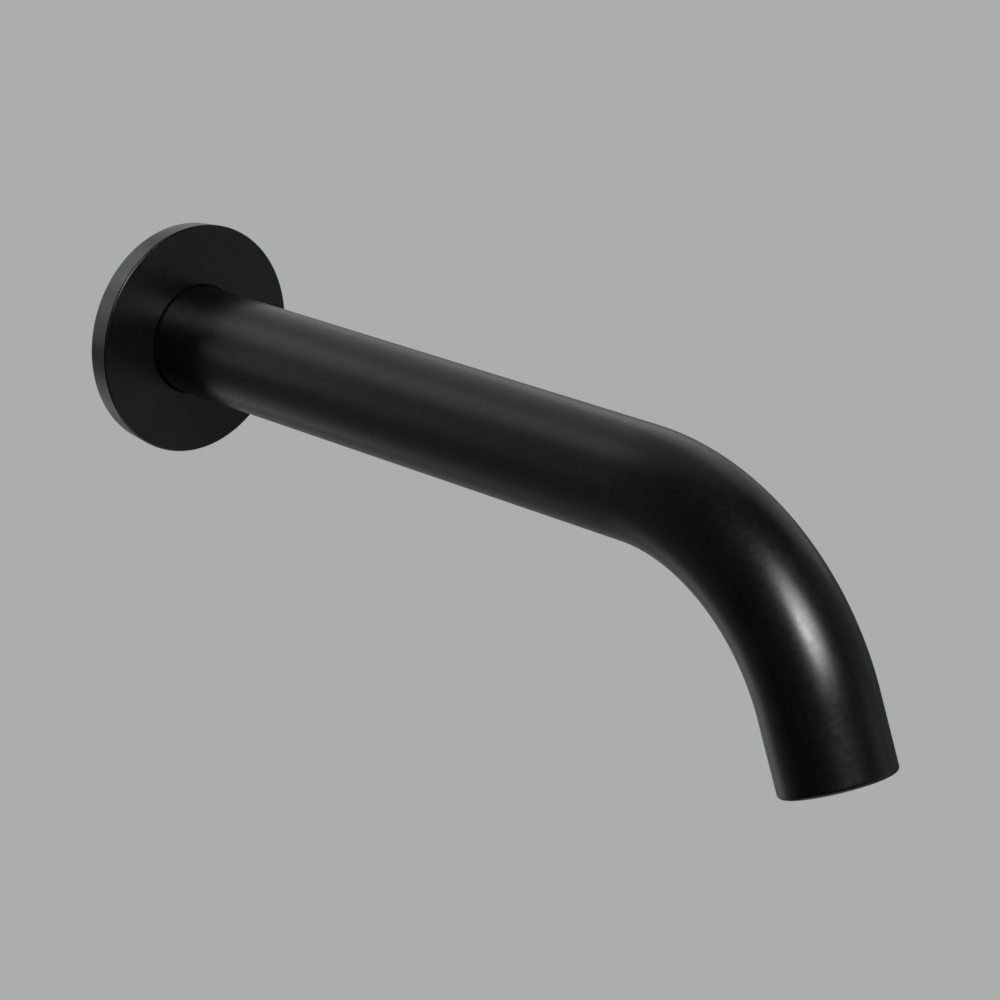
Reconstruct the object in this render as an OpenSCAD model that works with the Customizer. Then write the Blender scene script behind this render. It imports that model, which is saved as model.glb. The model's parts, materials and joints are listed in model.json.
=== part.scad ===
// Wall-mounted bath spout: a bent tube that slips over a wall nipple, with a loose
// escutcheon, a locking screw and a screw-in aerator. Millimetres.
// Origin: centre of the tube's axis in the plane of the finished wall.
// +Z is up, +Y points into the wall, and the spout reaches out along -Y.

/* [Spout tube] */
// Outside diameter of the tube
tube_d = 28; // [28:0.5:32]
// Wall thickness of the tube
tube_wall = 2; // [2:0.1:2.4]
// Length of the straight run, from the wall to the start of the bend
straight_l = 167; // [120:1:220]
// Radius of the bend, at the tube's centre line
bend_r = 60; // [45:1:90]
// Angle of the bend
bend_angle = 69; // [50:1:90]
// Length of the straight end below the bend
outlet_l = 18; // [18:1:40]
// Radius that rounds the outside of the lip
lip_round = 1; // [0.8:0.1:1.8]

/* [Escutcheon] */
// Diameter of the escutcheon
escutcheon_d = 60; // [58:1:80]
// Thickness of the escutcheon, from the wall to its front face
escutcheon_t = 6.5; // [5.5:0.1:7.2]
// How much its rim's radius narrows towards the wall
rim_draft = 0.7; // [0:0.1:1]
// Width of the bevel on its front edge
escutcheon_bevel = 0.4; // [0.2:0.1:0.8]

/* [Wall connection] */
// Length of the nipple's wall thread, with its end chamfers
thread_l = 12.4; // [10:0.2:16]
// Diameter of the smooth spigot that the spout slips over
spigot_d = 18; // [17.6:0.1:18.4]
// Distance from the wall to the locking screw
screw_u = 10; // [9:0.5:11]

/* [Aerator] */
// Width of a hexagonal cell in the outlet grid
cell_af = 1.6; // [1.4:0.1:2]
// Number of jets in the splitter plate
jet_count = 24; // [12:1:30]

/* [Hidden] */
$fn = 96;
braze_gap = 0.05; // radial gap that solder fills
slip = 0.05;      // radial clearance of a turning or sliding fit
lay = 0.05;       // gap between stacked faces
past = 1;         // how far a cut runs past the face it opens

tube_r = tube_d / 2;
tube_in_r = tube_r - tube_wall;
tube_start = 0.5; // the tube stops short of the wall
end_lap = 0.2;    // the straight end laps over the end of the bend
end_proud = 0.01; // and stands this far proud of it, inside and out

// Wall nipple. u is the distance from the wall towards the room.
thread_r = 20.955 / 2; // G 1/2 thread, crest radius
thread_chamfer = 0.9;
thread_front_u = -2.6;
thread_rear_u = thread_front_u - thread_l;
relief_r = 9.3;
bore_r = 5.9;
collar_r = tube_in_r - 0.2;
collar_t = 3.4;
wall_ring_section = 1.5;
wall_ring_squeeze = 0.25; // how far the ring stands out of the collar's face
wall_ring_seat_r = relief_r + wall_ring_section + 0.15;
spigot_r = spigot_d / 2;
spigot_front_u = 36;
spigot_nose = [0.8, 1.2]; // radial and axial size of the chamfer on its nose
key_af = 12; // hexagon that an assembly key turns
key_depth = 7.5;
lock_groove_depth = 0.9;
lock_groove_w = 1.6;

// Rings that seal the spigot in the inlet bush
ring_us = [17.3, 24.3];
ring_groove_w = 2.6;
ring_height = 1.84; // of a 2 mm ring, once squeezed
ring_groove_r = spigot_r + slip - ring_height;

// Bushes inside the tube
inlet_bush_u = [3.6, 33.6];
bush_r = tube_in_r - braze_gap;
lead_in = 1.1;
bush_bevel = 0.5;

// Locking screw, M5 x 0.8 with a soft tip. rho is the distance from the tube's axis.
screw_r = 2.5;
screw_rho = [9.4, 12.6];
screw_bevel = 0.4;
screw_key_af = 2.5;
screw_key_depth = 1.6;
tip_rho = 8.15;
tip_point_r = 0.7;
tip_cone = 0.8;
tip_stem_r = 1.2;
tip_stem_l = 0.9;

// Escutcheon
escutcheon_r = escutcheon_d / 2;
plate_t = 1.7;
rim_w = 2.4;
escutcheon_bore_r = tube_r + 0.35;
escutcheon_bore_bevel = 0.5;
guide_in_r = tube_r + 0.12;
guide_r = tube_r + 4.4;
guide_u = [0.5, escutcheon_t - plate_t - lay];
boss_w = 1.3;
boss_h = 2;
drag_ring_section = 1.7;
drag_groove_w = 1.9;
drag_ring_u = (guide_u[0] + guide_u[1]) / 2;

// Outlet. w is the distance from the lip, up into the tube.
outlet_bush_w = [1.6, 17.4];
seat_w = 13.2; // shoulder that the aerator's washer seals on
female_thread_w = 6.4;
aerator_thread_r = 10.65; // M21.5 x 1, crest radius of the aerator's own thread
female_thread_r = aerator_thread_r + 0.1;
counterbore_r = female_thread_r + 0.2;
counterbore_bevel = 0.3;
throat_r = 9.3;

// Aerator
housing_w = [2, 12];
housing_skirt_r = counterbore_r - 0.15;
housing_bore_r = 9.5;
housing_mouth_r = 8.9;
housing_lip_t = 0.9;
housing_bevel = 0.4;
notch_count = 4;
notch_w = 2.4;
notch_h = 1.2;
insert_r = housing_bore_r - 0.1;
washer_w = [12.05, 13.15];
grid_w = [2.95, 4.95];
grid_wall = 0.3;
grid_open_r = 8.7;
lower_screen_w = 5;
screen_t = 0.35;
screen_pitch = 1.6;
screen_hole = 1.1;
screen_open_r = 8.5;
screen_ring_w = [5.4, 6.2];
upper_screen_w = 6.25;
sleeve_w = [6.65, 9.75];
sleeve_throat_r = 7.9;
air_window_count = 6;
air_window = [3.2, 0.9];
splitter_w = [9.8, 11];
jet_r = 0.35;
jet_circle_r = 7.2;
regulator_w = [11.05, 12.4];
core_r = 8.9; // everything above the splitter
channel_r = [3.4, 6.4];
channel_floor = 0.4;
channel_rib_count = 12;
regulator_ring_section = 0.9;
regulator_ring_r = 4.25;
filter_w = [12.45, 16.8];
filter_foot_t = 0.75;
filter_foot_w = 1.5;
filter_top_r = 5.2;
filter_top_t = 0.7;
filter_slot_count = 20;
filter_slot_w = 0.7;
filter_hole_r = 0.4;
filter_holes = [[1.8, 5], [3.9, 11]]; // radius and number of holes in each circle

// ---- finishes ----

module matt_black() { color([0.05, 0.05, 0.055]) children(); }
module raw_brass() { color([0.8, 0.65, 0.37]) children(); }
module black_rubber() { color([0.06, 0.06, 0.06]) children(); }
module white_plastic() { color([0.92, 0.92, 0.9]) children(); }
module dark_plastic() { color([0.3, 0.3, 0.31]) children(); }
module steel_wire() { color([0.72, 0.73, 0.74]) children(); }

// ---- frames ----

// Local +Z runs out along the spout, from the wall.
module along_spout() {
    rotate([90, 0, 0]) children();
}

// Local +Z runs up into the tube, from the centre of the lip.
module at_outlet() {
    translate([0, -straight_l, -bend_r])
        rotate([bend_angle, 0, 0])
            translate([0, -outlet_l, bend_r])
                rotate([-90, 0, 0])
                    children();
}

// Local +Z runs down and out through the locking screw, from the tube's axis.
module at_screw() {
    translate([0, -screw_u, 0]) rotate([180, 0, 0]) children();
}

// ---- shared shapes ----

// A turned ring from radius r1 to r2, between the two heights in h.
module ring(r1, r2, h) {
    rotate_extrude() translate([r1, h[0]]) square([r2 - r1, h[1] - h[0]]);
}

// A round elastic ring. r is the radius to the middle of its section.
module o_ring(r, section, z) {
    rotate_extrude() translate([r, z]) circle(d = section, $fn = 48);
}

// A hexagonal prism, af across its flats.
module hexagon(af, h) {
    cylinder(r = af / sqrt(3), h = h, $fn = 6);
}

// Children repeated count times around the local Z axis.
module around(count) {
    for (i = [0:count - 1]) rotate(i * 360 / count) children();
}

// What is cut away to round an outside corner that lies at the origin, where the
// material is at -X and +Y.
module corner_round(r) {
    difference() {
        translate([-r, -past]) square([r + past, r + past]);
        translate([-r, r]) circle(r);
    }
}

// ---- spout ----

module spout_tube() {
    matt_black() {
        difference() {
            along_spout() ring(tube_in_r, tube_r, [tube_start, straight_l]);
            at_screw() cylinder(r = screw_r + slip, h = tube_r + past);
        }
        translate([0, -straight_l, -bend_r])
            rotate([0, -90, 0])
                rotate_extrude(angle = -bend_angle)
                    translate([bend_r, 0])
                        difference() {
                            circle(tube_r);
                            circle(tube_in_r);
                        }
        at_outlet()
            rotate_extrude()
                difference() {
                    translate([tube_in_r - end_proud, 0])
                        square([tube_wall + 2 * end_proud, outlet_l + end_lap]);
                    translate([tube_r + end_proud, 0]) corner_round(lip_round);
                }
    }
}

module inlet_bush() {
    bush_bore_r = spigot_r + slip;
    raw_brass()
        difference() {
            along_spout()
                rotate_extrude()
                    polygon([
                        [bush_bore_r + lead_in, inlet_bush_u[0]],
                        [bush_r, inlet_bush_u[0]],
                        [bush_r, inlet_bush_u[1] - bush_bevel],
                        [bush_r - bush_bevel, inlet_bush_u[1]],
                        [bush_bore_r, inlet_bush_u[1]],
                        [bush_bore_r, inlet_bush_u[0] + lead_in],
                    ]);
            at_screw() cylinder(r = screw_r + slip, h = tube_r);
        }
}

module outlet_bush() {
    matt_black()
        at_outlet()
            rotate_extrude()
                polygon([
                    [counterbore_r + counterbore_bevel, outlet_bush_w[0]],
                    [bush_r, outlet_bush_w[0]],
                    [bush_r, outlet_bush_w[1]],
                    [throat_r, outlet_bush_w[1]],
                    [throat_r, seat_w],
                    [female_thread_r, seat_w],
                    [female_thread_r, female_thread_w],
                    [counterbore_r, female_thread_w - 0.2],
                    [counterbore_r, outlet_bush_w[0] + counterbore_bevel],
                ]);
}

// ---- wall connection ----

module wall_nipple() {
    lock_groove_r = spigot_r - lock_groove_depth;
    half_w = lock_groove_w / 2;
    raw_brass()
        along_spout()
            difference() {
                rotate_extrude()
                    polygon([
                        [bore_r, thread_rear_u],
                        [thread_r - thread_chamfer, thread_rear_u],
                        [thread_r, thread_rear_u + thread_chamfer],
                        [thread_r, thread_front_u - thread_chamfer],
                        [relief_r, thread_front_u],
                        [relief_r, wall_ring_section - wall_ring_squeeze],
                        [wall_ring_seat_r, wall_ring_section - wall_ring_squeeze],
                        [wall_ring_seat_r, 0],
                        [collar_r, 0],
                        [collar_r, collar_t],
                        [spigot_r, collar_t],
                        [spigot_r, screw_u - half_w - lock_groove_depth],
                        [lock_groove_r, screw_u - half_w],
                        [lock_groove_r, screw_u + half_w],
                        [spigot_r, screw_u + half_w + lock_groove_depth],
                        [spigot_r, spigot_front_u - spigot_nose[1]],
                        [spigot_r - spigot_nose[0], spigot_front_u],
                        [bore_r, spigot_front_u],
                    ]);
                for (u = ring_us)
                    ring(ring_groove_r, spigot_r + past,
                        [u - ring_groove_w / 2, u + ring_groove_w / 2]);
                translate([0, 0, spigot_front_u - key_depth])
                    hexagon(key_af, key_depth + past);
            }
}

module wall_o_ring() {
    middle_u = wall_ring_section / 2 - wall_ring_squeeze - lay / 2;
    black_rubber()
        along_spout()
            o_ring((relief_r + wall_ring_seat_r) / 2, wall_ring_section - lay, middle_u);
}

// One of the two rings that seal the spigot in the inlet bush.
module nipple_o_ring(u) {
    black_rubber()
        along_spout()
            o_ring(ring_groove_r + ring_height / 2, ring_height - 0.02, u);
}

module nipple_o_ring_rear() {
    nipple_o_ring(ring_us[0]);
}

module nipple_o_ring_front() {
    nipple_o_ring(ring_us[1]);
}

// ---- escutcheon ----

module escutcheon() {
    back_u = escutcheon_t - plate_t;
    boss_r = guide_r + lay;
    matt_black()
        along_spout()
            rotate_extrude()
                polygon([
                    [escutcheon_bore_r, back_u],
                    [boss_r, back_u],
                    [boss_r, back_u - boss_h],
                    [boss_r + boss_w, back_u - boss_h],
                    [boss_r + boss_w, back_u],
                    [escutcheon_r - rim_w, back_u],
                    [escutcheon_r - rim_w, 0],
                    [escutcheon_r - rim_draft, 0],
                    [escutcheon_r, escutcheon_t - escutcheon_bevel],
                    [escutcheon_r - escutcheon_bevel, escutcheon_t],
                    [escutcheon_bore_r + escutcheon_bore_bevel, escutcheon_t],
                    [escutcheon_bore_r, escutcheon_t - escutcheon_bore_bevel],
                ]);
}

module escutcheon_gasket() {
    color([0.16, 0.16, 0.17])
        along_spout()
            ring(guide_r + lay + boss_w + 0.3, escutcheon_r - rim_w - 0.2,
                [lay, escutcheon_t - plate_t - lay]);
}

module escutcheon_guide() {
    dark_plastic()
        along_spout()
            difference() {
                ring(guide_in_r, guide_r, guide_u);
                ring(guide_in_r - past, tube_r + drag_ring_section + 0.1,
                    [drag_ring_u - drag_groove_w / 2, drag_ring_u + drag_groove_w / 2]);
            }
}

module escutcheon_o_ring() {
    black_rubber()
        along_spout()
            o_ring(tube_r + drag_ring_section / 2 + 0.02, drag_ring_section, drag_ring_u);
}

// ---- locking screw ----

module grub_screw() {
    length = screw_rho[1] - screw_rho[0];
    socket_r = tip_stem_r + slip;
    socket_l = tip_stem_l + 0.1;
    color([0.1, 0.1, 0.105])
        at_screw()
            translate([0, 0, screw_rho[0]])
                difference() {
                    rotate_extrude()
                        polygon([
                            [socket_r, 0],
                            [screw_r - screw_bevel, 0],
                            [screw_r, screw_bevel],
                            [screw_r, length - screw_bevel],
                            [screw_r - screw_bevel, length],
                            [0, length],
                            [0, socket_l],
                            [socket_r, socket_l],
                        ]);
                    translate([0, 0, length - screw_key_depth])
                        hexagon(screw_key_af, screw_key_depth + past);
                }
}

module grub_screw_tip() {
    head_rho = screw_rho[0] - lay;
    color([0.9, 0.89, 0.84])
        at_screw()
            rotate_extrude()
                polygon([
                    [0, tip_rho],
                    [tip_point_r, tip_rho],
                    [tip_point_r + tip_cone, tip_rho + tip_cone],
                    [tip_point_r + tip_cone, head_rho],
                    [tip_stem_r, head_rho],
                    [tip_stem_r, screw_rho[0] + tip_stem_l],
                    [0, screw_rho[0] + tip_stem_l],
                ]);
}

// ---- aerator ----

module aerator_housing() {
    skirt_end = female_thread_w - 0.4;
    color([0.2, 0.2, 0.21])
        at_outlet()
            difference() {
                rotate_extrude()
                    polygon([
                        [housing_mouth_r, housing_w[0]],
                        [housing_skirt_r - housing_bevel, housing_w[0]],
                        [housing_skirt_r, housing_w[0] + housing_bevel],
                        [housing_skirt_r, skirt_end],
                        [aerator_thread_r, skirt_end + 0.2],
                        [aerator_thread_r, housing_w[1] - housing_bevel],
                        [aerator_thread_r - housing_bevel, housing_w[1]],
                        [housing_bore_r, housing_w[1]],
                        [housing_bore_r, housing_w[0] + housing_lip_t],
                        [housing_mouth_r, housing_w[0] + housing_lip_t],
                    ]);
                around(notch_count)
                    translate([housing_bore_r + 0.2, -notch_w / 2, housing_w[0] - past])
                        cube([tube_wall, notch_w, notch_h + past]);
            }
}

module aerator_washer() {
    black_rubber()
        at_outlet()
            ring(throat_r, aerator_thread_r - 0.05, washer_w);
}

module aerator_filter() {
    rise = filter_w[1] - filter_w[0];
    foot_r = core_r - 0.5;
    slot_h = rise - filter_foot_t - filter_top_t - 0.8;
    white_plastic()
        at_outlet()
            translate([0, 0, filter_w[0]])
                difference() {
                    rotate_extrude()
                        polygon([
                            [core_r - filter_foot_w, 0],
                            [core_r, 0],
                            [core_r, filter_foot_t],
                            [foot_r, filter_foot_t],
                            [filter_top_r, rise],
                            [0, rise],
                            [0, rise - filter_top_t],
                            [filter_top_r - filter_top_t, rise - filter_top_t],
                            [core_r - filter_foot_w, filter_foot_t],
                        ]);
                    around(filter_slot_count)
                        translate([filter_top_r - filter_top_t, -filter_slot_w / 2,
                            filter_foot_t + 0.4])
                            cube([core_r, filter_slot_w, slot_h]);
                    for (circle_of = filter_holes)
                        around(circle_of[1])
                            translate([circle_of[0], 0, rise - filter_top_t - past])
                                cylinder(r = filter_hole_r, h = filter_top_t + 2 * past);
                }
}

module flow_regulator_body() {
    height = regulator_w[1] - regulator_w[0];
    color([0.86, 0.55, 0.16])
        at_outlet()
            translate([0, 0, regulator_w[0]])
                difference() {
                    cylinder(r = core_r, h = height);
                    ring(channel_r[0], channel_r[1], [channel_floor, height + past]);
                    around(channel_rib_count)
                        translate([channel_r[1] - 1, 0, -past])
                            cylinder(r = 0.55, h = height + 2 * past);
                }
}

module flow_regulator_ring() {
    middle = regulator_w[0] + channel_floor + regulator_ring_section / 2 + lay;
    black_rubber()
        at_outlet()
            o_ring(regulator_ring_r, regulator_ring_section, middle);
}

module jet_splitter() {
    height = splitter_w[1] - splitter_w[0];
    white_plastic()
        at_outlet()
            translate([0, 0, splitter_w[0]])
                difference() {
                    cylinder(r = insert_r, h = height);
                    ring(2.5, core_r - 0.8, [height - 0.4, height + past]);
                    around(jet_count)
                        translate([jet_circle_r, 0, -past])
                            cylinder(r = jet_r, h = height + 2 * past);
                }
}

module mixing_sleeve() {
    height = sleeve_w[1] - sleeve_w[0];
    white_plastic()
        at_outlet()
            translate([0, 0, sleeve_w[0]])
                difference() {
                    rotate_extrude()
                        polygon([
                            [screen_open_r, 0],
                            [insert_r, 0],
                            [insert_r, height],
                            [core_r, height],
                            [sleeve_throat_r, height - 1],
                            [sleeve_throat_r, 1],
                        ]);
                    around(air_window_count)
                        translate([sleeve_throat_r - past, -air_window[0] / 2,
                            height - air_window[1]])
                            cube([insert_r, air_window[0], air_window[1] + past]);
                }
}

// A flat disc with square holes, as woven wire leaves them.
module screen(w) {
    reach = floor(screen_open_r / screen_pitch);
    at_outlet()
        translate([0, 0, w])
            difference() {
                cylinder(r = insert_r, h = screen_t);
                for (i = [-reach:reach], j = [-reach:reach])
                    if (norm([i, j]) * screen_pitch + screen_hole / sqrt(2) < screen_open_r)
                        translate([i * screen_pitch, j * screen_pitch, screen_t / 2])
                            cube([screen_hole, screen_hole, screen_t + past], center = true);
            }
}

module upper_screen() {
    steel_wire() screen(upper_screen_w);
}

module screen_ring() {
    white_plastic() at_outlet() ring(screen_open_r, insert_r, screen_ring_w);
}

module lower_screen() {
    steel_wire() screen(lower_screen_w);
}

// A honeycomb that straightens the stream, with its outer cells trimmed to a circle.
module outlet_grid() {
    pitch = cell_af + grid_wall;
    reach = ceil(grid_open_r / pitch) + 1;
    height = grid_w[1] - grid_w[0];
    dark_plastic()
        at_outlet()
            translate([0, 0, grid_w[0]])
                difference() {
                    cylinder(r = insert_r, h = height);
                    for (i = [-reach:reach], j = [-reach:reach]) {
                        cell = [pitch * (i + j / 2), pitch * j * sqrt(3) / 2];
                        far = norm(cell) + cell_af / sqrt(3);
                        if (far < grid_open_r)
                            grid_cell(cell, height);
                        else if (norm(cell) < grid_open_r - cell_af / 4)
                            intersection() {
                                grid_cell(cell, height);
                                translate([0, 0, -past])
                                    cylinder(r = grid_open_r, h = height + 2 * past);
                            }
                    }
                }
}

module grid_cell(centre, height) {
    translate([centre[0], centre[1], -past])
        rotate(30)
            hexagon(cell_af, height + 2 * past);
}

spout_tube();
inlet_bush();
outlet_bush();
wall_nipple();
wall_o_ring();
nipple_o_ring_rear();
nipple_o_ring_front();
escutcheon();
escutcheon_gasket();
escutcheon_guide();
escutcheon_o_ring();
grub_screw();
grub_screw_tip();
aerator_housing();
aerator_washer();
aerator_filter();
flow_regulator_body();
flow_regulator_ring();
jet_splitter();
mixing_sleeve();
upper_screen();
screen_ring();
lower_screen();
outlet_grid();
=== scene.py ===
"""The looks of a wall-mounted bath spout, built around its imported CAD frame.

Metres for places and millimetres for sizes. +Z is up, +Y points into the wall, and the
spout reaches out along -Y.
"""

import json
import math

import bmesh
import bpy
from mathutils import Matrix, Vector

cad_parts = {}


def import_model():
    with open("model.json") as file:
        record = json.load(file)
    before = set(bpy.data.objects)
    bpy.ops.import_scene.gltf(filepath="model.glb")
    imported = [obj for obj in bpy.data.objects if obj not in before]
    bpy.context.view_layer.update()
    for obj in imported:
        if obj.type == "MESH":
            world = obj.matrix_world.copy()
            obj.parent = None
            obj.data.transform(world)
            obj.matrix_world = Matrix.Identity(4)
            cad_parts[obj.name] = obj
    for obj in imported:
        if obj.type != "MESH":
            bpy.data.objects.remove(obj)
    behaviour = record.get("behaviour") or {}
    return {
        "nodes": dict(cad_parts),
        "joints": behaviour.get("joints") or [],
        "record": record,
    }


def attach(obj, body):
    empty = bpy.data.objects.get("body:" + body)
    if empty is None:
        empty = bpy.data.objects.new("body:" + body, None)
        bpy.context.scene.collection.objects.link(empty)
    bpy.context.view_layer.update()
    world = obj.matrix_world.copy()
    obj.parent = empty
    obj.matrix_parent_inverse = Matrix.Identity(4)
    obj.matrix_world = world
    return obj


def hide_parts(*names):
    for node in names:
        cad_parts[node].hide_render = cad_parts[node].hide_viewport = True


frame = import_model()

MM = 0.001
TURN = 2 * math.pi
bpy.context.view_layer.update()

# ---- the tube's run, in millimetres, as in the CAD model ----

TUBE_R = 14.0
TUBE_BORE_R = 12.0
TUBE_START = 0.5
STRAIGHT = 167.0
BEND_R = 60.0
STRAIGHT_END = 18.0
LIP_ROUND = 1.0

# ---- what the pieces share, in millimetres, as in the CAD model ----

SCREW_HOLE_R = 2.55
RING_GROOVES = (17.3, 24.3)
MALE_R, FEMALE_R = 10.65, 10.75
THREAD_DEPTH, AERATOR_PITCH = 0.55, 1.0
CELL, CELL_WALL = 1.6, 0.3
GRID_OPEN_R, SCREEN_OPEN_R, SCREEN_RIM_R = 8.7, 8.5, 9.4
SCREEN_T = 0.35

# ---- the stage ----

CAMERA_PLACE = (-571.3, -720.4, 269.9)  # millimetres
CAMERA_DOWN, CAMERA_HEADING = 19.02, -43.59  # degrees
FOCAL_LENGTH, SENSOR_WIDTH = 131.96, 36  # millimetres
FLOOR_Z, FLOOR_HALF_WIDTH = -1.3, 30  # metres
FLOOR_GLOW = (0.98, 1.0, 1.0, 1)
PALE = 0.42  # the brightness of the floor and of what the camera sees behind the spout
LAMP_TARGET, LAMP_DISTANCE = (0, -0.12, -0.03), 1.5  # metres
# (direction of the glow, cosines of the angles from it where it starts and is full, radiance)
BACKDROPS = (
    ((0, 1, 0), 0.3, 1.0, 0.36),
    ((0.596, 0.752, -0.282), 0.3, 1.0, 0.125),
)
# (name, direction from the spout, half the angle it fills in degrees, radiance)
SOFTBOXES = (
    ("key", (-0.24, -0.73, 0.66), 14, 10.6),
    ("key_left", (-0.36, -0.74, 0.57), 9, 25.0),
    ("key_right", (-0.11, -0.82, 0.57), 9, 4.6),
    ("top", (0.30, 0.70, 0.64), 40, 0.35),
    ("top_left", (-0.27, 0.65, 0.70), 14, 0.42),
    ("back_high", (-0.04, 0.89, 0.46), 13, 0.89),
    ("back_high_left", (-0.30, 0.90, 0.33), 12, 0.95),
    ("back_left", (-0.47, 0.88, 0.11), 13, 0.8),
    ("back_low", (-0.10, 0.85, -0.50), 13, 0.42),
    ("side_high", (0.85, 0.30, 0.45), 25, 0.37),
    ("side", (0.80, -0.30, 0.20), 30, 0.17),
    ("low_front", (0.60, -0.70, -0.40), 30, 0.31),
    ("below", (0.0, -0.25, -1.0), 30, 1.2),
)


# ---- places ----

def joint(name):
    return next(j for j in frame["joints"] if j["name"] == name)


def frame_along(origin, direction):
    """A matrix, for sizes in millimetres, whose local +Z runs along direction."""
    turn = Vector(direction).to_track_quat("Z", "X").to_matrix().to_4x4()
    return Matrix.Translation(Vector(origin)) @ turn @ Matrix.Scale(MM, 4)


FLOW = Vector(joint("aerator_turn")["axis"])
SCREW_POS = Vector(joint("screw_turn")["pos_m"])
BEND = math.acos(-FLOW.y)
RUN = STRAIGHT + BEND_R * BEND + STRAIGHT_END
# Local +Z runs out along the spout from the wall, up into the tube from the lip's
# centre, and out through the locking screw from the tube's axis.
ALONG_SPOUT = frame_along((0, 0, 0), (0, -1, 0))
AT_OUTLET = frame_along(joint("aerator_turn")["pos_m"], -FLOW)
AT_SCREW = frame_along((0, SCREW_POS.y, 0), joint("screw_turn")["axis"])


def around(matrix):
    """Maps (radius, height, angle) to a point around the matrix's straight axis."""
    def place(r, h, a):
        return matrix @ Vector((r * math.cos(a), r * math.sin(a), h))
    return place


def along_tube(r, s, a):
    """Maps (radius, distance from the wall, angle) to a point around the bent axis."""
    t = min(max((s - STRAIGHT) / BEND_R, 0.0), BEND)
    out = Vector((0, -math.cos(t), -math.sin(t)))
    top = Vector((0, -math.sin(t), math.cos(t)))
    centre = Vector((0, -STRAIGHT - BEND_R * math.sin(t), BEND_R * (math.cos(t) - 1)))
    beyond = s - STRAIGHT - BEND_R * t
    point = centre + out * beyond + top * (r * math.sin(a))
    point.x = r * math.cos(a)
    return point * MM


# ---- turned pieces ----

class Thread:
    """A right-hand thread from height h0 up to h1, tapered to its root at both ends.

    An inside thread has its crest nearer the axis, and half a turn of phase.
    """

    STEPS = (0.0, 0.08, 0.2, 0.32, 0.42, 0.5, 0.58, 0.68, 0.8, 0.92)

    def __init__(self, h0, h1, crest_r, root_r, pitch, taper, phase=0.0):
        self.h0, self.h1, self.pitch, self.taper = h0, h1, pitch, taper
        self.crest_r, self.root_r, self.phase = crest_r, root_r, phase

    def radius(self, h, a):
        phase = (h / self.pitch - a / TURN + self.phase) % 1.0
        rise = min(max((abs(phase - 0.5) * 2 - 0.12) / 0.74, 0.0), 1.0)
        end = max(min(h - self.h0, self.h1 - h) / self.taper, 0.0)
        return self.root_r + (self.crest_r - self.root_r) * min(rise, end)

    def rows(self, segments, place):
        """Rows of points that climb with the helix, so that its crest isn't stepped."""
        first = math.floor(self.h0 / self.pitch) - 1
        last = math.ceil(self.h1 / self.pitch) + 1
        out = []
        for h in [(turn + step) * self.pitch for turn in range(first, last) for step in self.STEPS]:
            row = []
            for i in range(segments):
                a = TURN * i / segments
                z = min(max(h + self.pitch * a / TURN, self.h0), self.h1)
                row.append(place(self.radius(z, a), z, a))
            out.append(row)
        return out


def fillet(corner, before, after, radius, steps=6):
    """Points that round a corner, with one more just past each end to hold the flats."""
    p, a, b = Vector(corner), Vector(before), Vector(after)
    to_a, to_b = (a - p).normalized(), (b - p).normalized()
    half = to_a.angle(to_b) / 2
    reach = radius / math.tan(half)
    centre = p + (to_a + to_b).normalized() * (radius / math.sin(half))
    start, end = p + to_a * reach - centre, p + to_b * reach - centre
    sweep = math.atan2(start.x * end.y - start.y * end.x, start.dot(end))
    arc = []
    for i in range(steps + 1):
        c, s = math.cos(sweep * i / steps), math.sin(sweep * i / steps)
        arc.append(centre + Vector((start.x * c - start.y * s, start.x * s + start.y * c)))
    hold = min(radius * 0.25, ((a - p).length - reach) / 2, ((b - p).length - reach) / 2)
    return [arc[0] + to_a * hold, *arc, arc[-1] + to_b * hold]


def outline(points):
    """Rounds each (r, h, fillet radius) corner; (r, h) points and threads stay."""
    def end(item, first):
        if isinstance(item, Thread):
            return (item.root_r, item.h0 if first else item.h1)
        return item[:2]

    out = []
    for i, item in enumerate(points):
        if isinstance(item, Thread) or len(item) == 2:
            out.append(item)
        else:
            before, after = points[i - 1], points[(i + 1) % len(points)]
            out += fillet(item[:2], end(before, False), end(after, True), item[2])
    return out


def new_object(name, bm):
    mesh = bpy.data.meshes.new(name)
    bm.to_mesh(mesh)
    bm.free()
    obj = bpy.data.objects.new(name, mesh)
    bpy.context.scene.collection.objects.link(obj)
    return obj


def smooth(obj, angle=32):
    """Smooth shading, with creases where faces meet at more than angle degrees."""
    bm = bmesh.new()
    bm.from_mesh(obj.data)
    for face in bm.faces:
        face.smooth = True
    for edge in bm.edges:
        edge.smooth = len(edge.link_faces) == 2 and edge.calc_face_angle() < math.radians(angle)
    bm.to_mesh(obj.data)
    bm.free()
    return obj


def turned(name, points, place, segments=128):
    """A closed solid of revolution, around a straight or bent axis, with any threads."""
    bm = bmesh.new()
    rows, threads = [], []
    for item in outline(points):
        threaded = isinstance(item, Thread)
        if threaded:
            made = item.rows(segments, place)
        else:
            made = [[place(item[0], item[1], TURN * i / segments) for i in range(segments)]]
        last = len(rows) + len(made) - 1
        rows += [[bm.verts.new(p) for p in row] for row in made]
        threads += [last if threaded else None] * len(made)

    def at(row, i):
        """The vertex i places round from the start of a row, which climbs if it is a thread's."""
        if i < segments or threads[row] is None:
            return rows[row][i % segments]
        return rows[min(row + len(Thread.STEPS), threads[row])][0]

    for k in range(len(rows)):
        up = (k + 1) % len(rows)
        for i in range(segments):
            corners = list(dict.fromkeys((at(k, i), at(up, i), at(up, i + 1), at(k, i + 1))))
            if len(corners) > 2 and not bm.faces.get(corners):
                bm.faces.new(corners)
    bmesh.ops.remove_doubles(bm, verts=bm.verts, dist=1e-7)
    bmesh.ops.recalc_face_normals(bm, faces=bm.faces)
    return smooth(new_object(name, bm))


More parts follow.
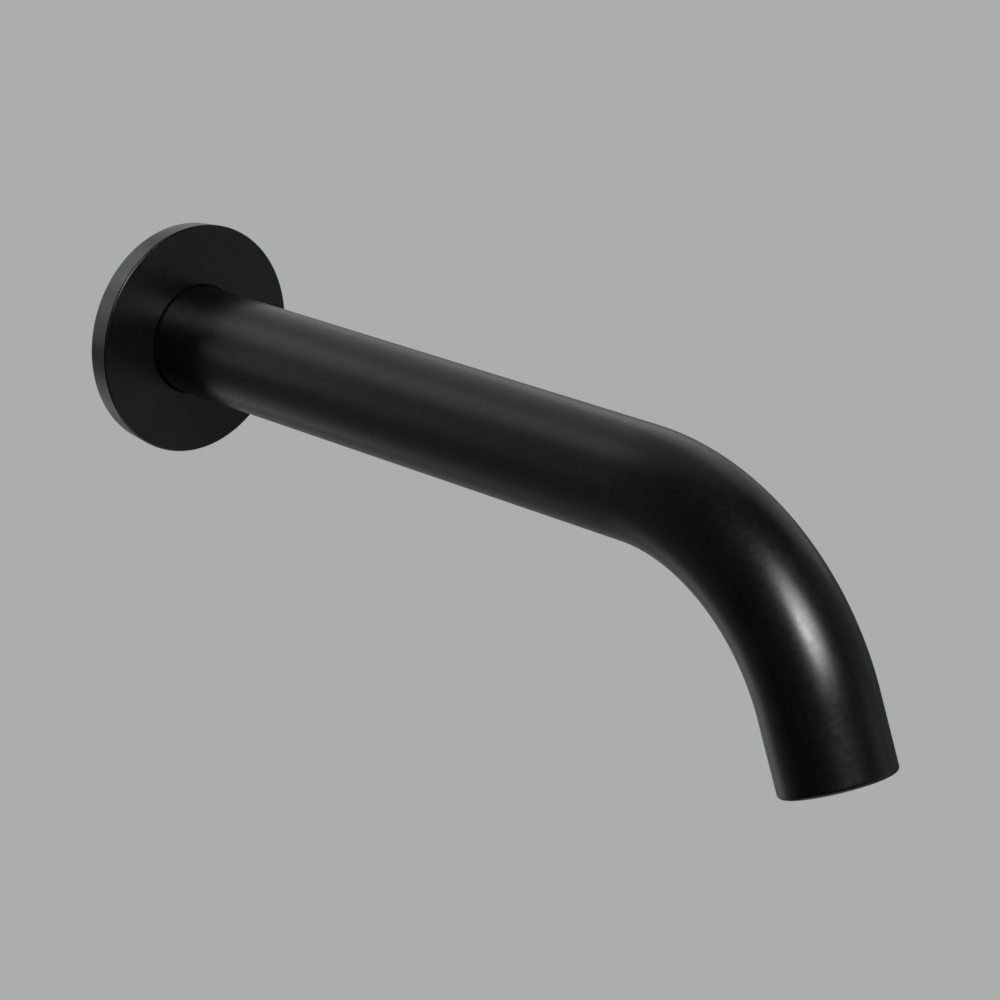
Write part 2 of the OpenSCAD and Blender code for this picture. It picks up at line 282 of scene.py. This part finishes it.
def prism(sides, rings, place, turn=0.0, centre=(0.0, 0.0)):
    """A straight prism through rings of (height, corner radius)."""
    bm = bmesh.new()
    rows = []
    for h, r in rings:
        row = []
        for i in range(sides):
            a = turn + TURN * i / sides
            x, y = centre[0] + r * math.cos(a), centre[1] + r * math.sin(a)
            row.append(bm.verts.new(place(math.hypot(x, y), h, math.atan2(y, x))))
        rows.append(row)
    bm.faces.new(rows[0])
    bm.faces.new(rows[-1])
    for low, high in zip(rows, rows[1:]):
        for i in range(sides):
            j = (i + 1) % sides
            bm.faces.new((low[i], low[j], high[j], high[i]))
    bmesh.ops.recalc_face_normals(bm, faces=bm.faces)
    return new_object("cutter", bm)


def joined(objects, name="cutter"):
    """One object from several."""
    bm = bmesh.new()
    for obj in objects:
        bm.from_mesh(obj.data)
        bpy.data.objects.remove(obj)
    return new_object(name, bm)


def cut(obj, *cutters, angle=32, operation="DIFFERENCE"):
    """Takes the cutters out of obj, and deletes them."""
    for cutter in cutters:
        change = obj.modifiers.new("cut", "BOOLEAN")
        change.operation, change.solver, change.object = operation, "EXACT", cutter
    graph = bpy.context.evaluated_depsgraph_get()
    mesh = bpy.data.meshes.new_from_object(obj.evaluated_get(graph))
    obj.modifiers.clear()
    obj.data = mesh
    for cutter in cutters:
        bpy.data.objects.remove(cutter)
    return smooth(obj, angle)


# ---- materials ----

NOISE_LOW, NOISE_HIGH = 0.3, 0.7  # what nearly all of a noise's values lie between


def new_material(name):
    material = bpy.data.materials.new(name)
    material.use_nodes = True
    tree = material.node_tree
    return material, tree, tree.nodes["Principled BSDF"]


def noise(tree, size_mm, detail=3.0, stretch=None, turn=(0, 0, 0)):
    """Noise whose features are about size_mm across; stretch makes them longer along an axis."""
    where = tree.nodes.new("ShaderNodeTexCoord")
    source = where.outputs["Object"]
    if stretch:
        mapping = tree.nodes.new("ShaderNodeMapping")
        mapping.inputs["Rotation"].default_value = turn
        mapping.inputs["Scale"].default_value = [1 / s for s in stretch]
        tree.links.new(source, mapping.inputs["Vector"])
        source = mapping.outputs["Vector"]
    node = tree.nodes.new("ShaderNodeTexNoise")
    node.inputs["Scale"].default_value = 1 / (size_mm * MM)
    node.inputs["Detail"].default_value = detail
    tree.links.new(source, node.inputs["Vector"])
    return node.outputs["Fac"]


def roughen(tree, shader, value, low, high):
    """Varies the surface's roughness by a noise value."""
    node = tree.nodes.new("ShaderNodeMapRange")
    node.inputs["From Min"].default_value = NOISE_LOW
    node.inputs["From Max"].default_value = NOISE_HIGH
    node.inputs["To Min"].default_value = low
    node.inputs["To Max"].default_value = high
    tree.links.new(value, node.inputs["Value"])
    tree.links.new(node.outputs["Result"], shader.inputs["Roughness"])


def tint(tree, shader, value, dark, light):
    """Varies the surface's colour by a noise value."""
    node = tree.nodes.new("ShaderNodeValToRGB")
    node.color_ramp.elements[0].position = NOISE_LOW
    node.color_ramp.elements[1].position = NOISE_HIGH
    node.color_ramp.elements[0].color = (*dark, 1)
    node.color_ramp.elements[1].color = (*light, 1)
    tree.links.new(value, node.inputs["Fac"])
    tree.links.new(node.outputs["Color"], shader.inputs["Base Color"])


def bump(tree, heights, shader):
    """Chains bumps; heights holds (value, depth in millimetres)."""
    previous = None
    for value, depth in heights:
        node = tree.nodes.new("ShaderNodeBump")
        node.inputs["Strength"].default_value = 1.0
        node.inputs["Distance"].default_value = depth * MM
        tree.links.new(value, node.inputs["Height"])
        if previous:
            tree.links.new(previous, node.inputs["Normal"])
        previous = node.outputs["Normal"]
    tree.links.new(previous, shader.inputs["Normal"])


def matt_black():
    """A fine-textured powder coat: nearly black, with a soft satin sheen."""
    material, tree, shader = new_material("matt_black")
    shader.inputs["Specular IOR Level"].default_value = 0.32
    tint(tree, shader, noise(tree, 9), (0.002, 0.002, 0.0021), (0.0036, 0.0036, 0.0038))
    roughen(tree, shader, noise(tree, 1.4, detail=6), 0.27, 0.33)
    bump(tree, [(noise(tree, 0.28, detail=2), 0.0014), (noise(tree, 3.5), 0.002)], shader)
    return material


def machined_brass():
    """Turned brass: fine rings around the spout's axis, and a little tarnish."""
    material, tree, shader = new_material("raw_brass")
    shader.inputs["Metallic"].default_value = 1.0
    tint(tree, shader, noise(tree, 5, detail=5), (0.55, 0.38, 0.16), (0.83, 0.62, 0.30))
    roughen(tree, shader, noise(tree, 1.2, detail=5), 0.22, 0.38)
    rings = noise(tree, 0.14, detail=2, stretch=(60, 1, 60))
    bump(tree, [(rings, 0.004), (noise(tree, 0.6), 0.003)], shader)
    return material


def rubber(name, colour, roughness):
    """Moulded elastomer with a faint bloom."""
    material, tree, shader = new_material(name)
    shader.inputs["Specular IOR Level"].default_value = 0.35
    light = [c * 1.5 for c in colour]
    tint(tree, shader, noise(tree, 2.2, detail=5), colour, light)
    roughen(tree, shader, noise(tree, 0.8, detail=4), roughness - 0.08, roughness + 0.08)
    bump(tree, [(noise(tree, 0.18), 0.004)], shader)
    return material


def foam():
    """Closed-cell foam, pitted all over."""
    material, tree, shader = new_material("grey_foam")
    shader.inputs["Specular IOR Level"].default_value = 0.2
    tint(tree, shader, noise(tree, 0.5, detail=4), (0.05, 0.05, 0.052), (0.13, 0.13, 0.135))
    roughen(tree, shader, noise(tree, 0.6), 0.82, 0.95)
    cells = tree.nodes.new("ShaderNodeTexVoronoi")
    cells.inputs["Scale"].default_value = 1 / (0.45 * MM)
    where = tree.nodes.new("ShaderNodeTexCoord")
    tree.links.new(where.outputs["Object"], cells.inputs["Vector"])
    bump(tree, [(cells.outputs["Distance"], 0.12)], shader)
    return material


def plastic(name, dark, light, roughness, transmission=0.0):
    """Moulded plastic with faint flow marks and a fine spark-eroded texture."""
    material, tree, shader = new_material(name)
    shader.inputs["Specular IOR Level"].default_value = 0.45
    shader.inputs["Transmission Weight"].default_value = transmission
    shader.inputs["Subsurface Weight"].default_value = 0.06 if not transmission else 0.0
    shader.inputs["Subsurface Scale"].default_value = 0.6 * MM
    tint(tree, shader, noise(tree, 6), dark, light)
    roughen(tree, shader, noise(tree, 1.0, detail=4), roughness - 0.06, roughness + 0.06)
    bump(tree, [(noise(tree, 0.12), 0.0025), (noise(tree, 2.5), 0.004)], shader)
    return material


def dark_metal(name, dark, light, roughness):
    """Blackened metal: satin, slightly uneven."""
    material, tree, shader = new_material(name)
    shader.inputs["Metallic"].default_value = 0.85
    tint(tree, shader, noise(tree, 1.5, detail=5), dark, light)
    roughen(tree, shader, noise(tree, 0.7, detail=4), roughness - 0.07, roughness + 0.07)
    bump(tree, [(noise(tree, 0.2), 0.003)], shader)
    return material


def woven_steel():
    """Bright stainless wire."""
    material, tree, shader = new_material("steel_mesh")
    shader.inputs["Metallic"].default_value = 1.0
    tint(tree, shader, noise(tree, 0.9, detail=4), (0.42, 0.43, 0.44), (0.66, 0.67, 0.68))
    roughen(tree, shader, noise(tree, 0.5), 0.2, 0.34)
    bump(tree, [(noise(tree, 0.1), 0.002)], shader)
    return material


MATERIALS = {
    "matt_black": matt_black(),
    "raw_brass": machined_brass(),
    "black_rubber": rubber("black_rubber", (0.012, 0.012, 0.012), 0.55),
    "grey_foam": foam(),
    "blackened_steel": dark_metal(
        "blackened_steel", (0.02, 0.02, 0.021), (0.05, 0.05, 0.052), 0.38
    ),
    "nylon": plastic("nylon", (0.72, 0.7, 0.62), (0.8, 0.78, 0.7), 0.4),
    "blackened_brass": dark_metal(
        "blackened_brass", (0.012, 0.012, 0.013), (0.03, 0.03, 0.031), 0.3
    ),
    "white_plastic": plastic("white_plastic", (0.72, 0.72, 0.69), (0.8, 0.8, 0.77), 0.38),
    "amber_plastic": plastic(
        "amber_plastic", (0.62, 0.25, 0.03), (0.75, 0.34, 0.05), 0.25, transmission=0.35
    ),
    "dark_plastic": plastic("dark_plastic", (0.018, 0.018, 0.019), (0.03, 0.03, 0.031), 0.36),
    "steel_mesh": woven_steel(),
}
SLOT_OF = {part["node"]: part["material_slot"] for part in frame["record"]["subparts"]}
BODY_OF = {
    node: body
    for body, nodes in frame["record"]["behaviour"]["bodies"].items()
    for node in nodes
}


def paint(obj, slot):
    obj.data.materials.clear()
    obj.data.materials.append(MATERIALS[slot])
    for face in obj.data.polygons:
        face.material_index = 0


def stands_for(obj, node):
    """obj takes the place of a CAD node, with its body and its finish."""
    paint(obj, SLOT_OF[node])
    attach(obj, BODY_OF[node])
    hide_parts(node)


# ---- the spout ----

def hexagon_r(across_flats):
    return across_flats / math.sqrt(3)


def tube():
    """The bent tube, with a rounded lip and a countersunk hole for the locking screw."""
    near_hole = [2 + 0.75 * i for i in range(24)]  # close together, where the hole is cut
    straight = [STRAIGHT * i / 24 for i in range(4, 24)]
    bend = [STRAIGHT + BEND_R * BEND * i / 96 for i in range(97)]
    stations = [*near_hole, *straight, *bend, RUN - STRAIGHT_END / 2]
    points = [(TUBE_BORE_R, TUBE_START, 0.15), (TUBE_R, TUBE_START, 0.3)]
    points += [(TUBE_R, s) for s in stations]
    points += [(TUBE_R, RUN, LIP_ROUND), (TUBE_BORE_R, RUN, 0.25)]
    points += [(TUBE_BORE_R, s) for s in reversed(stations)]
    shell = turned("tube_shell", points, along_tube, segments=192)
    countersink = [(TUBE_R - 0.25, SCREW_HOLE_R), (TUBE_R + 0.75, SCREW_HOLE_R + 1)]
    hole = [(TUBE_BORE_R - 2, SCREW_HOLE_R), *countersink]
    return cut(shell, prism(64, hole, around(AT_SCREW)), angle=28)


def outlet_bush():
    """The bush in the tube's end, with the aerator's inside thread."""
    thread = Thread(6.5, 13.0, FEMALE_R - THREAD_DEPTH, FEMALE_R, AERATOR_PITCH, 0.6, phase=0.5)
    points = [
        (10.95, 1.6, 0.2), (10.95, 6.2), (FEMALE_R, 6.4), thread, (FEMALE_R, 13.2),
        (9.3, 13.2, 0.15), (9.3, 17.4, 0.2), (11.95, 17.4, 0.2), (11.95, 1.6, 0.15),
    ]
    return turned("outlet_thread_bush", points, around(AT_OUTLET))


# ---- the wall connection ----

def nipple():
    """The wall nipple: a G 1/2 thread, a collar, and a spigot with its grooves and key socket."""
    bore_r, spigot_r, groove_r, half_groove = 5.9, 9, 7.21, 1.3
    thread = Thread(-15, -2.6, 10.4775, 9.3155, 1.814, 1.2)
    points = [(bore_r, -15, 0.2), thread]
    points += [(9.3, -2.5), (9.3, 1.25), (10.95, 1.25), (10.95, 0, 0.1)]  # the ring's recess
    points += [(11.8, 0, 0.2), (11.8, 3.4, 0.3), (spigot_r, 3.4, 0.3)]  # the collar
    points += [(spigot_r, 8.3), (8.1, 9.2), (8.1, 10.8), (spigot_r, 11.7)]  # the screw's groove
    for middle in RING_GROOVES:
        low, high = middle - half_groove, middle + half_groove
        points += [(spigot_r, low, 0.12), (groove_r, low, 0.15)]
        points += [(groove_r, high, 0.15), (spigot_r, high, 0.12)]
    points += [(spigot_r, 34.8, 0.3), (8.2, 36, 0.3), (bore_r, 36, 0.3)]
    place = around(ALONG_SPOUT)
    key_r = hexagon_r(12)
    socket = [(28.5, key_r), (35.8, key_r), (36.8, key_r + 1)]
    return cut(turned("threaded_nipple", points, place), prism(6, socket, place))


# ---- the escutcheon ----

def cover():
    """The escutcheon: a thin turned cup with a crisp front edge and a boss for its guide."""
    points = [
        (14.35, 4.8, 0.15), (18.45, 4.8), (18.45, 2.8, 0.15), (19.75, 2.8, 0.3), (19.75, 4.8, 0.2),
        (27.6, 4.8, 0.4), (27.6, 0, 0.15), (29.3, 0, 0.2), (30, 6.5, 0.45), (14.35, 6.5, 0.2),
    ]
    return turned("cover_plate", points, around(ALONG_SPOUT), segments=256)


def gasket():
    """The foam ring that the escutcheon presses against the wall."""
    points = [(20.05, 0.05, 0.5), (27.4, 0.05, 0.5), (27.4, 4.75, 0.6), (20.05, 4.75, 0.6)]
    return turned("foam_gasket", points, around(ALONG_SPOUT))


# ---- the locking screw ----

def grub():
    """The M5 grub screw, with a key socket outside and a stem hole for its soft tip."""
    thread = Thread(9.5, 12.5, 2.5, 2.05, 0.8, 0.35)
    points = [(1.25, 9.4, 0.05), (thread.root_r, 9.4), thread, (thread.root_r, 12.6, 0.1)]
    points += [(0, 12.6), (0, 10.4), (1.25, 10.4)]
    place = around(AT_SCREW)
    key_r = hexagon_r(2.5)
    socket = [(11, key_r), (12.4, key_r), (13, key_r + 0.5)]
    return cut(turned("hex_grub_screw", points, place, segments=64), prism(6, socket, place))


# ---- the aerator ----

def aerator_ring():
    """The aerator's threaded ring, with four notches for its key."""
    thread = Thread(6.3, 11.9, MALE_R, MALE_R - THREAD_DEPTH, AERATOR_PITCH, 0.5)
    points = [
        (8.9, 2, 0.15), (10.8, 2, 0.4), (10.8, 6, 0.2), thread,
        (9.5, 12, 0.15), (9.5, 2.9), (8.9, 2.9, 0.15),
    ]
    place = around(AT_OUTLET)
    corner_r = 1.2 * math.sqrt(2)
    notches = []
    for i in range(4):
        a = TURN * i / 4
        centre = (10.75 * math.cos(a), 10.75 * math.sin(a))
        notches.append(prism(4, [(1, corner_r), (3.2, corner_r)], place, a + TURN / 8, centre))
    return cut(turned("aerator_thread_ring", points, place), joined(notches))


def honeycomb():
    """The stream straightener: hexagonal cells with flared mouths, trimmed to a circle."""
    place = around(AT_OUTLET)
    low, high = 2.95, 4.95
    disc = turned("honeycomb_grid", [(0, low), (9.4, low, 0.3), (9.4, high, 0.2), (0, high)], place)
    pitch = CELL + CELL_WALL
    cell_r = hexagon_r(CELL)
    mouth_r, far_r = cell_r + 0.12, cell_r * 0.97
    rings = [(2.5, mouth_r), (low, mouth_r), (3.1, cell_r), (4.6, far_r), (5.4, far_r)]
    reach = math.ceil(GRID_OPEN_R / pitch) + 1
    cells = []
    for i in range(-reach, reach + 1):
        for j in range(-reach, reach + 1):
            centre = (pitch * (i + j / 2), pitch * j * math.sqrt(3) / 2)
            if math.hypot(*centre) < GRID_OPEN_R - CELL / 4:
                cells.append(prism(6, rings, place, TURN / 12, centre))
    trim = prism(96, [(2, GRID_OPEN_R), (6, GRID_OPEN_R)], place)
    return cut(disc, cut(joined(cells), trim, operation="INTERSECT"))


def wire_screen(name, low):
    """A disc of plain-woven wire, crimped over and under, in a pressed rim."""
    wire_r, pitch, sides, per_crossing = 0.08, 0.9, 6, 6
    high = low + SCREEN_T
    middle = (low + high) / 2
    into_rim = 0.3
    bm = bmesh.new()
    count = math.floor(SCREEN_OPEN_R / pitch)
    for across in (False, True):
        for i in range(-count, count + 1):
            offset = i * pitch
            half = math.sqrt((SCREEN_OPEN_R + into_rim) ** 2 - offset ** 2)
            steps = math.ceil(2 * half / pitch * per_crossing)
            rows = []
            for k in range(steps + 1):
                along = -half + 2 * half * k / steps
                sign = (1 if i % 2 else -1) * (1 if across else -1)
                lift = wire_r * sign * math.cos(math.pi * along / pitch)
                row = []
                for n in range(sides):
                    a = TURN * n / sides
                    side, up = wire_r * math.cos(a), wire_r * math.sin(a)
                    x, y = (offset + side, along) if across else (along, offset + side)
                    row.append(bm.verts.new(AT_OUTLET @ Vector((x, y, middle + lift + up))))
                rows.append(row)
            bm.faces.new(rows[0])
            bm.faces.new(rows[-1])
            for near, far in zip(rows, rows[1:]):
                for n in range(sides):
                    m = (n + 1) % sides
                    bm.faces.new((near[n], near[m], far[m], far[n]))
    bmesh.ops.recalc_face_normals(bm, faces=bm.faces)
    weave = new_object("weave", bm)
    points = [
        (SCREEN_OPEN_R, low, 0.1), (SCREEN_RIM_R, low, 0.1),
        (SCREEN_RIM_R, high, 0.1), (SCREEN_OPEN_R, high, 0.1),
    ]
    rim = turned("rim", points, around(AT_OUTLET))
    return smooth(joined([weave, rim], name), 50)


# ---- assembly ----

for node, obj in frame["nodes"].items():
    paint(obj, SLOT_OF[node])

stands_for(tube(), "spout_tube")
stands_for(outlet_bush(), "outlet_bush")
stands_for(nipple(), "wall_nipple")
stands_for(cover(), "escutcheon")
stands_for(gasket(), "escutcheon_gasket")
stands_for(grub(), "grub_screw")
stands_for(aerator_ring(), "aerator_housing")
stands_for(honeycomb(), "outlet_grid")
stands_for(wire_screen("upper_wire_screen", 6.25), "upper_screen")
stands_for(wire_screen("lower_wire_screen", 5.0), "lower_screen")


# ---- the stage ----

def floor():
    """A plain pale floor, far enough below to leave the underside open to view."""
    bm = bmesh.new()
    bmesh.ops.create_grid(bm, x_segments=1, y_segments=1, size=FLOOR_HALF_WIDTH)
    obj = new_object("floor", bm)
    obj.location.z = FLOOR_Z
    material, _, shader = new_material("floor")
    shader.inputs["Base Color"].default_value = (0.001, 0.001, 0.001, 1)
    shader.inputs["Roughness"].default_value = 1.0
    shader.inputs["Specular IOR Level"].default_value = 0.0
    shader.inputs["Emission Color"].default_value = FLOOR_GLOW
    shader.inputs["Emission Strength"].default_value = PALE
    obj.data.materials.append(material)
    obj.visible_glossy = obj.visible_diffuse = obj.visible_shadow = False


def softbox(name, toward, half_angle, radiance):
    """A round area light, seen from the spout in one direction."""
    light = bpy.data.lights.new(name, "AREA")
    light.shape = "DISK"
    light.size = 2 * LAMP_DISTANCE * math.tan(math.radians(half_angle))
    light.energy = radiance * math.pi * (math.pi / 4 * light.size ** 2)
    obj = bpy.data.objects.new(name, light)
    bpy.context.scene.collection.objects.link(obj)
    direction = Vector(toward).normalized()
    obj.location = Vector(LAMP_TARGET) + direction * LAMP_DISTANCE
    obj.rotation_euler = direction.to_track_quat("Z", "Y").to_euler()
    obj.visible_camera = False


def world():
    """A dim studio around the spout, brighter behind it, that the camera sees as pale."""
    world = bpy.data.worlds.new("studio")
    bpy.context.scene.world = world
    world.use_nodes = True
    tree = world.node_tree
    tree.nodes.clear()
    new, link = tree.nodes.new, tree.links.new
    where = new("ShaderNodeTexCoord")
    light = None
    for toward, start, end, radiance in BACKDROPS:
        facing = new("ShaderNodeVectorMath")
        facing.operation = "DOT_PRODUCT"
        facing.inputs[1].default_value = Vector(toward).normalized()
        link(where.outputs["Generated"], facing.inputs[0])
        lobe = new("ShaderNodeMapRange")
        lobe.interpolation_type = "SMOOTHSTEP"
        lobe.inputs["From Min"].default_value = start
        lobe.inputs["From Max"].default_value = end
        lobe.inputs["To Max"].default_value = radiance
        link(facing.outputs["Value"], lobe.inputs["Value"])
        if light:
            total = new("ShaderNodeMath")
            link(light, total.inputs[0])
            link(lobe.outputs["Result"], total.inputs[1])
            light = total.outputs["Value"]
        else:
            light = lobe.outputs["Result"]
    studio = new("ShaderNodeBackground")
    pale = new("ShaderNodeBackground")
    seen = new("ShaderNodeLightPath")
    choose = new("ShaderNodeMixShader")
    out = new("ShaderNodeOutputWorld")
    pale.inputs["Color"].default_value = (PALE, PALE, PALE, 1)
    link(light, studio.inputs["Strength"])
    link(seen.outputs["Is Camera Ray"], choose.inputs["Fac"])
    link(studio.outputs["Background"], choose.inputs[1])
    link(pale.outputs["Background"], choose.inputs[2])
    link(choose.outputs["Shader"], out.inputs["Surface"])


def camera():
    data = bpy.data.cameras.new("camera")
    data.lens, data.sensor_width = FOCAL_LENGTH, SENSOR_WIDTH
    obj = bpy.data.objects.new("camera", data)
    bpy.context.scene.collection.objects.link(obj)
    obj.location = Vector(CAMERA_PLACE) * MM
    obj.rotation_euler = (math.radians(90 - CAMERA_DOWN), 0, math.radians(CAMERA_HEADING))
    data.clip_start, data.clip_end = 0.05, 200
    bpy.context.scene.camera = obj


floor()
world()
camera()
for lamp in SOFTBOXES:
    softbox(*lamp)
bpy.context.scene.view_settings.view_transform = "Standard"
